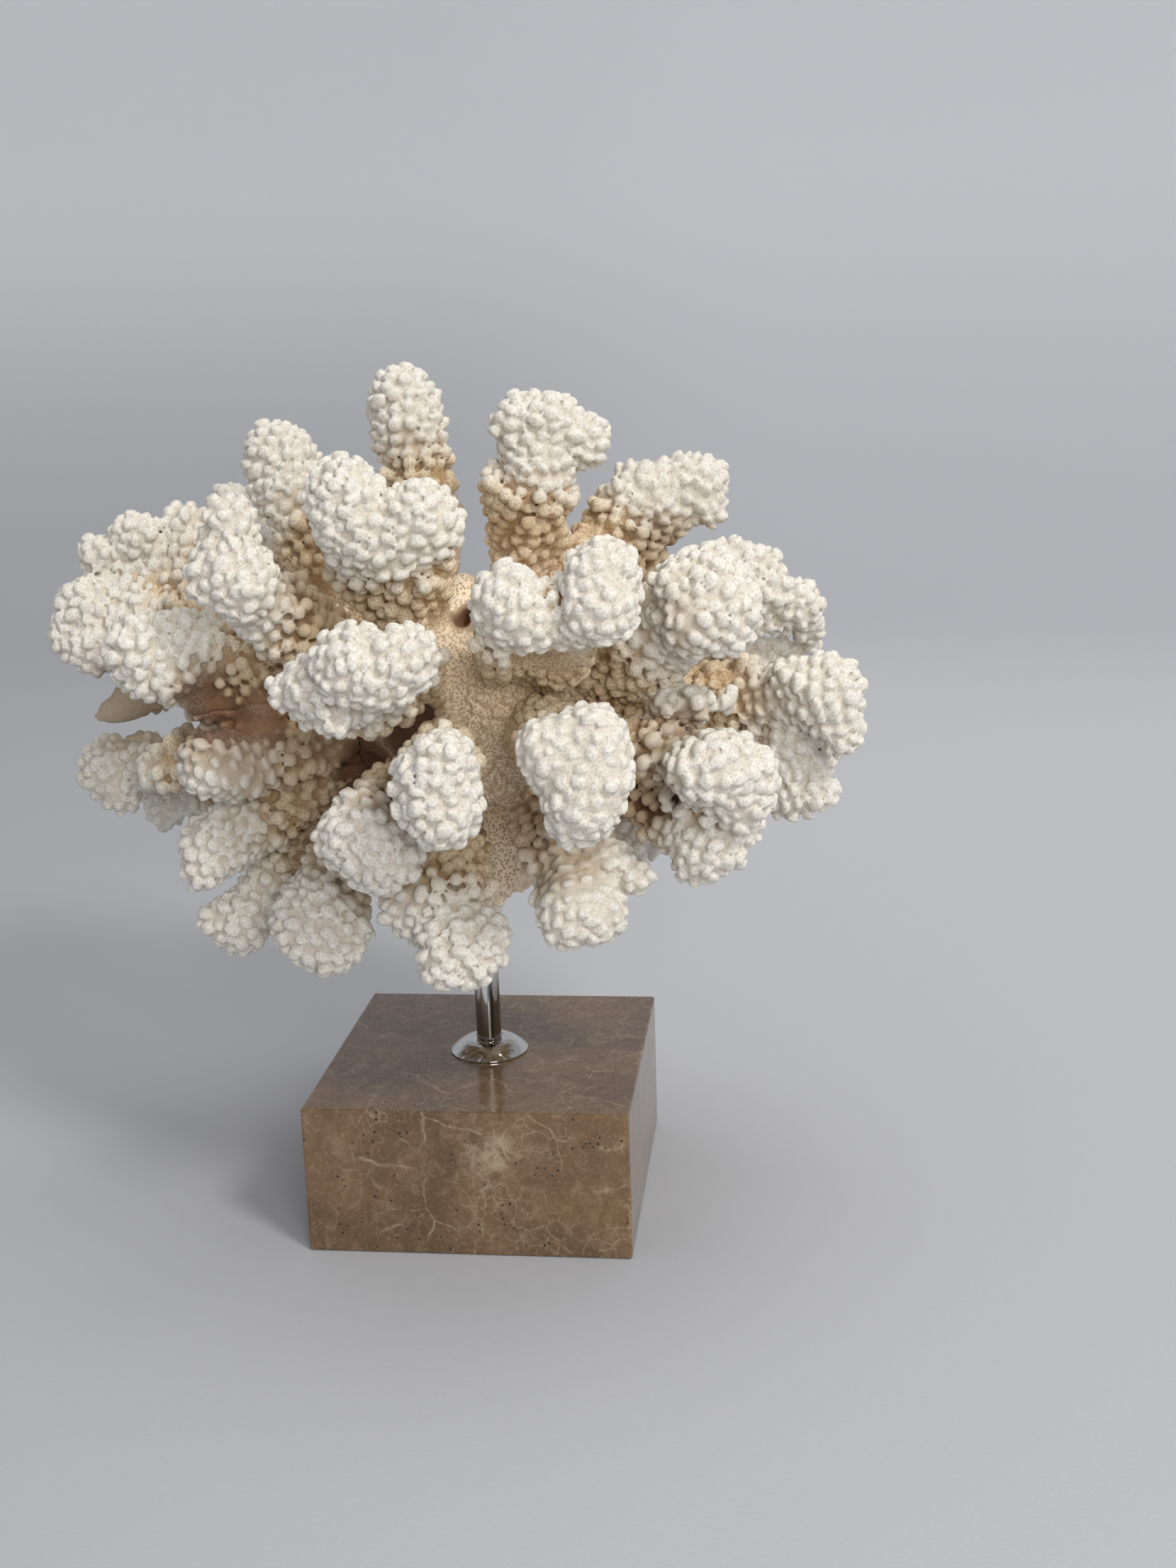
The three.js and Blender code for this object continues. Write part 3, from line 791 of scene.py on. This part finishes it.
# The rod's painted reflections: the block's brown near its foot, and a dark streak up one side.
ROD_FOOT_REFLECTION, ROD_TOP_COLOUR, ROD_STREAK_REFLECTION = (0.26, 0.225, 0.19), (0.86, 0.86, 0.87), (0.06, 0.065, 0.06)
REFLECTION_STREAK_PLACE = 0.0016  # how far to the right of the rod's middle its painted dark reflection runs, in metres

FLOOR_COLOURS = (0.475, 0.485, 0.51), (0.505, 0.515, 0.54)
# Painted light towards the back and up the wall, and painted shade on the left.
FLOOR_BACK_LIGHT, FLOOR_WALL_LIGHT, FLOOR_SHADE = (0.72, 0.73, 0.76), (0.88, 0.89, 0.92), (0.40, 0.41, 0.43)


def cups(n, pitch, inner, outer):
    """Small round cups laid over a skin in the plane it faces most: 1 inside them, 0 on the walls."""
    spot, facing = n.add("ShaderNodeSeparateXYZ"), n.add("ShaderNodeSeparateXYZ")
    n.put(spot.inputs[0], n.warped(300.0, 0.0004))
    n.put(facing.inputs[0], n.add("ShaderNodeAttribute", attribute_name="facing").outputs["Vector"])
    total = 0.0
    for axis in range(3):
        plane = n.add("ShaderNodeCombineXYZ")
        n.put(plane.inputs[0], spot.outputs[(axis + 1) % 3])
        n.put(plane.inputs[1], spot.outputs[(axis + 2) % 3])
        middle = n.voronoi(1 / pitch, plane.outputs[0], flat=True)
        share = n.times(n.ramp(middle, outer, inner), facing.outputs[axis])
        total = n.math("ADD", share, total)
    return total


def browned_by_stain_and_shade(n, colour, strength):
    """A colour that goes through golden brown to a dark red-brown, for real stains and for painted shade in
    the hollows.
    """
    golden = n.mix(n.ramp(strength, 0.0, 0.5, 0.0, 0.7), colour, GOLDEN_BROWN)
    return n.mix(n.ramp(strength, 0.45, 1.0, 0.0, 0.92), golden, DARK_BROWN)


def coral_material():
    """Bleached coral: beige sides, white heads, small cups all over, and brown hollows that are partly
    stained and partly painted shade.
    """
    n = Nodes("coral_skeleton")
    buried_here, wide = n.attribute("buried"), n.attribute("buried_wide")
    rise, reach, along, bare, stain_and_shade = (n.attribute(k) for k in ("rise", "reach", "along", "bare", "stain_and_shade"))

    convex = n.ramp(buried_here, 0.46, 0.32)
    head = n.ramp(along, 0.66, 0.84)
    tipness = n.times(convex, head)
    peg_top = n.ramp(rise, 0.4, 2.4)
    crevice = n.ramp(rise, 1.2, 0.1)
    # Painted shade deep in the hollows between branches, with some of the coral's real brown.
    deep_shade_and_stain = n.times(n.ramp(wide, 0.42, 0.80, 0.0, 0.7), n.ramp(reach, 52.0, 68.0))
    outward = n.ramp(along, 0.45, 0.85)
    patches = n.noise(60.0, 3.0)

    side = n.mix(patches, *SIDE_COLOURS)
    pale = n.mix(patches, *PALE_COLOURS)
    white = n.mix(patches, *HEAD_COLOURS)
    paleness = n.times(peg_top, n.math("ADD", n.times(outward, 0.7), 0.3))
    colour = n.mix(paleness, side, pale)
    whiteness = n.math("ADD", n.times(tipness, 0.95),
                       n.times(n.times(peg_top, head), 0.30), clamp=True)
    whiteness = n.times(whiteness, n.math("SUBTRACT", 1.0, n.times(bare, 0.35)))
    colour = n.mix(whiteness, colour, white)

    root = n.ramp(reach, 48.0, 58.0)
    smooth_root = n.mix(patches, *CORE_COLOURS)
    colour = n.mix(n.ramp(reach, 60.0, 50.0, 0.0, 0.9), colour, smooth_root)
    # Painted shade in the grooves between the pegs, over the coral's own tan there.
    hollow = n.times(n.times(crevice, root), n.math("SUBTRACT", 1.0, bare))
    groove_tan_and_shade = n.mix(tipness, *GROOVE_TAN_AND_SHADE_COLOURS)
    colour = n.mix(n.times(hollow, n.ramp(tipness, 0.0, 1.0, 0.75, 0.6)), colour, groove_tan_and_shade)
    on_pegs = n.ramp(rise, 0.2, 2.2, 1.0, 0.45)
    # Brown from real stains and from painted shade in the hollows, weaker on the pegs.
    brown = n.math("MAXIMUM", n.times(stain_and_shade, on_pegs), n.times(deep_shade_and_stain, on_pegs))
    colour = browned_by_stain_and_shade(n, colour, brown)

    # Darker cup floors: the coral's brown on a branch's side, and painted shade on a head.
    cup = cups(n, CUP_PITCH, 0.20, 0.50)
    cup_tone_and_shade = n.mix(n.ramp(tipness, 0.15, 0.6), *CUP_TONE_AND_SHADE_COLOURS)
    cup_share = n.times(cup, n.ramp(rise, 0.3, 2.4, 0.62, 0.50))
    cup_share = n.times(cup_share, n.ramp(stain_and_shade, 0.3, 0.9, 1.0, 0.3))
    colour = n.mix(cup_share, colour, cup_tone_and_shade)
    grain = n.noise(2500.0, 2.0)
    normal = n.bump(cup, 0.0009, -1.0)
    normal = n.bump(grain, 0.0001, 0.5, normal)
    n.shade(Base_Color=colour, Roughness=n.ramp(grain, 0.3, 0.7, 0.78, 0.95), Normal=normal)
    n.shade(Specular_IOR_Level=0.25, Subsurface_Weight=0.15)
    n.shade(Subsurface_Radius=(1.0, 0.8, 0.55), Subsurface_Scale=0.0014)
    return n.material


def core_material():
    """The smooth warm heart of the coral, with fine pits, and brown where it lies deep that is partly stain
    and partly painted shade.
    """
    n = Nodes("coral_core_skin")
    wide, stain_and_shade = n.attribute("buried_wide"), n.attribute("stain_and_shade")
    patches = n.noise(45.0, 3.0)
    colour = n.mix(patches, *CORE_COLOURS)
    pit = cups(n, PIT_PITCH, 0.20, 0.36)
    fields = n.ramp(n.noise(42.0, 2.0), 0.36, 0.52, 0.2, 1.0)
    pit = n.times(pit, fields)
    colour = n.mix(n.times(pit, 0.7), colour, PIT_COLOUR)
    # Painted shade where the core lies deep, with some real brown.
    deep_shade_and_stain = n.ramp(wide, 0.84, 1.0)
    colour = browned_by_stain_and_shade(n, colour, n.math("MAXIMUM", deep_shade_and_stain, n.ramp(stain_and_shade, 0.2, 1.0)))
    normal = n.bump(n.math("SUBTRACT", 1.0, pit), 0.0004, 0.7)
    n.shade(Base_Color=colour, Roughness=n.ramp(patches, 0.3, 0.7, 0.7, 0.85), Normal=normal)
    n.shade(Specular_IOR_Level=0.3, Subsurface_Weight=0.12)
    n.shade(Subsurface_Radius=(1.0, 0.7, 0.45), Subsurface_Scale=0.0015)
    return n.material


def marble_material():
    """Polished brown marble: clouds, grit, broken veins, one pale patch and a few small holes."""
    n = Nodes("brown_marble")
    clouds = n.noise(26.0, 6.0, 0.62, distortion=0.6)
    grit = n.noise(900.0, 3.0, 0.7)
    mottle = n.noise(190.0, 5.0, 0.7, distortion=0.8)
    colour = n.mix(n.ramp(clouds, 0.34, 0.66), *MARBLE_COLOURS)
    colour = n.mix(n.ramp(mottle, 0.45, 0.72, 0.0, 0.45), colour, MARBLE_PALE)
    colour = n.mix(n.ramp(mottle, 0.46, 0.28, 0.0, 0.5), colour, MARBLE_DARK)
    colour = n.mix(n.ramp(grit, 0.52, 0.78, 0.0, 0.6), colour, MARBLE_GRIT)

    ragged = n.warped(75.0, 0.007)
    broken = n.ramp(n.noise(85.0, 4.0, 0.7), 0.44, 0.62)
    veins = n.voronoi(46.0, ragged, "DISTANCE_TO_EDGE")
    veins = n.times(n.ramp(veins, 0.026, 0.0), broken)
    crossed = n.voronoi(170.0, n.warped(140.0, 0.004), "DISTANCE_TO_EDGE")
    crossed = n.times(n.ramp(crossed, 0.05, 0.0),
                      n.ramp(n.noise(48.0, 3.0), 0.50, 0.62, 0.0, 0.8))
    lines = n.times(n.math("MAXIMUM", veins, crossed), n.ramp(grit, 0.3, 0.6, 0.35, 1.0))
    colour = n.mix(n.times(lines, 0.5), colour, MARBLE_VEIN)

    from_star = n.vector("DISTANCE", n.warped(160.0, 0.016), STAR_PLACE, output="Value")
    star_share = n.times(n.ramp(from_star, 0.013, 0.001), n.ramp(mottle, 0.36, 0.6))
    colour = n.mix(n.times(star_share, 0.5), colour, MARBLE_STAR)

    holes = n.voronoi(430.0, n.warped(500.0, 0.001))
    few = n.ramp(n.noise(120.0, 2.0), 0.52, 0.58)
    hole = n.times(n.ramp(holes, 0.24, 0.14), few)
    colour = n.mix(hole, colour, MARBLE_HOLE)
    polish = n.ramp(mottle, 0.3, 0.7, 0.11, 0.20)
    n.shade(Base_Color=colour, Roughness=polish, Normal=n.bump(hole, 0.0002, -0.5))
    return n.material


def chrome_material():
    """Faintly smudged chrome."""
    n = Nodes("polished_chrome")
    smudge = n.noise(120.0, 4.0)
    colour = n.mix(smudge, *ROSETTE_COLOURS)
    n.shade(Base_Color=colour, Roughness=n.ramp(smudge, 0.35, 0.75, 0.05, 0.14))
    n.shade(Metallic=1.0)
    return n.material


def rod_material():
    """Chrome with painted reflections: darker towards the block, and a dark streak up one side."""
    n = Nodes("chrome_with_painted_reflections")
    smudge = n.noise(120.0, 4.0)
    spot = n.add("ShaderNodeSeparateXYZ")
    n.put(spot.inputs[0], n.where())
    across, height = spot.outputs["X"], spot.outputs["Z"]
    side = n.math("ABSOLUTE", n.math("SUBTRACT", across, REFLECTION_STREAK_PLACE))
    foot = n.math("ADD", height, n.times(n.math("ABSOLUTE", across), -4.0))
    colour = n.mix(n.ramp(foot, 0.050, 0.072), ROD_FOOT_REFLECTION, ROD_TOP_COLOUR)
    colour = n.mix(n.ramp(side, 0.0013, 0.0003, 0.0, 0.85), colour, ROD_STREAK_REFLECTION)
    n.shade(Base_Color=colour, Roughness=n.ramp(smudge, 0.35, 0.75, 0.05, 0.12))
    n.shade(Metallic=1.0)
    return n.material


# The stand

ROUND_SIDES = 96  # faces around every round piece
BLOCK_BEVEL = 0.9
ROD_DEPTH = 19.5  # how deep the rod stands in the block
DOME_STEPS = 12


def turned(name, profile, closed=True):
    """A round object from (radius, height) points in millimetres, lowest first, with or without its ends."""
    points, faces, sides = [], [], ROUND_SIDES
    for radius, height in profile:
        for k in range(sides):
            turn = 2 * math.pi * k / sides
            points.append((radius * math.cos(turn) * MM, radius * math.sin(turn) * MM, height * MM))
    for ring in range(len(profile) - 1):
        for k in range(sides):
            a, b = ring * sides + k, ring * sides + (k + 1) % sides
            faces.append((a, b, b + sides, a + sides))
    if closed:
        faces.append(tuple(reversed(range(sides))))
        faces.append(tuple(range((len(profile) - 1) * sides, len(profile) * sides)))
    mesh = bpy.data.meshes.new(name)
    mesh.from_pydata(points, [], faces)
    for face in mesh.polygons:
        face.use_smooth = True
    if closed:
        mesh.set_sharp_from_angle(angle=math.radians(35))
    return placed(name, mesh)


def rounded_block(name, side, height, bevel):
    """A square block with rounded edges, standing on the ground."""
    work = bmesh.new()
    bmesh.ops.create_cube(work, size=1.0)
    bmesh.ops.scale(work, vec=(side * MM, side * MM, height * MM), verts=work.verts)
    bmesh.ops.translate(work, vec=(0, 0, height * MM / 2), verts=work.verts)
    bmesh.ops.bevel(work, geom=work.edges[:], offset=bevel * MM, segments=4, profile=0.5, affect="EDGES")
    mesh = bpy.data.meshes.new(name)
    work.to_mesh(mesh)
    work.free()
    for face in mesh.polygons:
        face.use_smooth = True
    piece = placed(name, mesh)
    weighted = piece.modifiers.new("even_shading", "WEIGHTED_NORMAL")
    weighted.keep_sharp = True
    return piece


def dome_profile():
    """The rosette's profile over the block: a thin upright rim, and a dome that ends round the rod."""
    rim, crown = 0.6, FLANGE_HEIGHT - 0.2
    inner = ROD_RADIUS + 1.6
    profile = [(FLANGE_RADIUS - 0.3, 0.05), (FLANGE_RADIUS, 0.3), (FLANGE_RADIUS, rim)]
    for k in range(1, DOME_STEPS + 1):
        share = k / DOME_STEPS
        rise = math.sin(share * math.pi / 2) ** 0.9
        profile.append((FLANGE_RADIUS + (inner - FLANGE_RADIUS) * share, rim + (crown - rim) * rise))
    return profile + [(ROD_RADIUS + 1.0, FLANGE_HEIGHT - 0.35), (ROD_RADIUS + 0.15, FLANGE_HEIGHT - 0.6)]


block = rounded_block("marble_block", BLOCK_SIDE, BLOCK_HEIGHT, BLOCK_BEVEL)
settle(block, "stone_block", marble_material())

rod_side = [(ROD_RADIUS, BLOCK_HEIGHT - ROD_DEPTH), (ROD_RADIUS, ROD_TOP - 1.0)]
settle(turned("steel_rod", rod_side + [(ROD_RADIUS - 0.8, ROD_TOP)]), "rod", rod_material())

rosette = turned("rosette", [(radius, BLOCK_HEIGHT + height) for radius, height in dome_profile()])
settle(rosette, "flange", chrome_material())

coral, core = coral_material(), core_material()
for index, node in enumerate(coral_nodes):
    coral_piece(index, node, core if node == CORE else coral)


# Stage, light and camera

FLOOR_RADIUS, FLOOR_CURVE, WALL_TOP = 1200.0, 900.0, 1300.0  # in millimetres
CURVE_STEPS = 12

# Each lamp's place and target in metres, its size, power and colour.
LAMPS = {
    "key": ((0.85, -0.85, 1.15), (0, 0, 0.12), 0.35, 10.4, (1.0, 0.985, 0.95)),
    "top": ((0.2, 0.1, 1.75), (0, 0, 0.1), 1.0, 5.5, (1.0, 0.985, 0.955)),
    "fill": ((0.5, -1.3, 0.6), (0, 0, 0.16), 0.5, 6.4, (1.0, 0.98, 0.95)),
}
WORLD_COLOUR, WORLD_STRENGTH = (0.84, 0.84, 0.87, 1), 0.43
SENSOR = 36.0


def floor_material():
    """Plain pale grey, with painted light towards the back and up the wall, and painted shade on the left."""
    n = Nodes("pale_floor")
    grain = n.noise(900.0, 2.0)
    spot = n.add("ShaderNodeSeparateXYZ")
    n.put(spot.inputs[0], n.where())
    across, back, height = (spot.outputs[k] for k in range(3))
    colour = n.mix(grain, *FLOOR_COLOURS)
    # Painted light towards the back and up the wall, then painted shade on the left.
    colour = n.mix(n.ramp(back, -0.25, 0.9), colour, FLOOR_BACK_LIGHT)
    colour = n.mix(n.ramp(height, 0.02, 0.5), colour, FLOOR_WALL_LIGHT)
    shade = n.times(n.ramp(across, 0.10, -0.45), n.ramp(height, 0.45, 0.02, 0.1, 0.5))
    colour = n.mix(shade, colour, FLOOR_SHADE)
    n.shade(Base_Color=colour, Roughness=0.9, Normal=n.bump(grain, 0.0002, 0.3))
    return n.material


def add_floor():
    """A round pale floor that curves up into a wall far from the object."""
    profile = [(1.0, 0.0), (FLOOR_RADIUS, 0.0)]
    for k in range(1, CURVE_STEPS + 1):
        turn = math.pi / 2 * k / CURVE_STEPS
        profile.append((FLOOR_RADIUS + FLOOR_CURVE * math.sin(turn), FLOOR_CURVE * (1 - math.cos(turn))))
    profile.append((FLOOR_RADIUS + FLOOR_CURVE, WALL_TOP))
    floor = turned("floor", profile, closed=False)
    floor.data.materials.append(floor_material())
    floor.visible_shadow = False


def area_light(name, place, target, size, power, colour):
    """A soft round lamp that shines at a target."""
    light = bpy.data.lights.new(name, "AREA")
    light.shape = "DISK"
    light.size = size
    light.energy = power
    light.color = colour
    lamp = placed(name, light)
    lamp.location = place
    lamp.rotation_euler = (Vector(target) - Vector(place)).to_track_quat("-Z", "Y").to_euler()


add_floor()
for name, values in LAMPS.items():
    area_light(name, *values)

world = bpy.data.worlds.new("studio")
world.use_nodes = True
world.node_tree.nodes["Background"].inputs["Color"].default_value = WORLD_COLOUR
world.node_tree.nodes["Background"].inputs["Strength"].default_value = WORLD_STRENGTH
bpy.context.scene.world = world
bpy.context.scene.view_settings.view_transform = "Standard"

camera_data = bpy.data.cameras.new("camera")
camera_data.sensor_width = SENSOR
camera_data.lens = FOCAL_PIXELS * SENSOR / PICTURE_HEIGHT
camera_data.clip_start, camera_data.clip_end = 0.01, 20.0
camera = placed("camera", camera_data)
turn = Matrix([[*RIGHT], [*UP], [*-FORWARD]]).transposed().to_4x4()
camera.matrix_world = Matrix.Translation(CAMERA_PLACE * MM) @ turn
bpy.context.scene.camera = camera

bpy.context.view_layer.update()
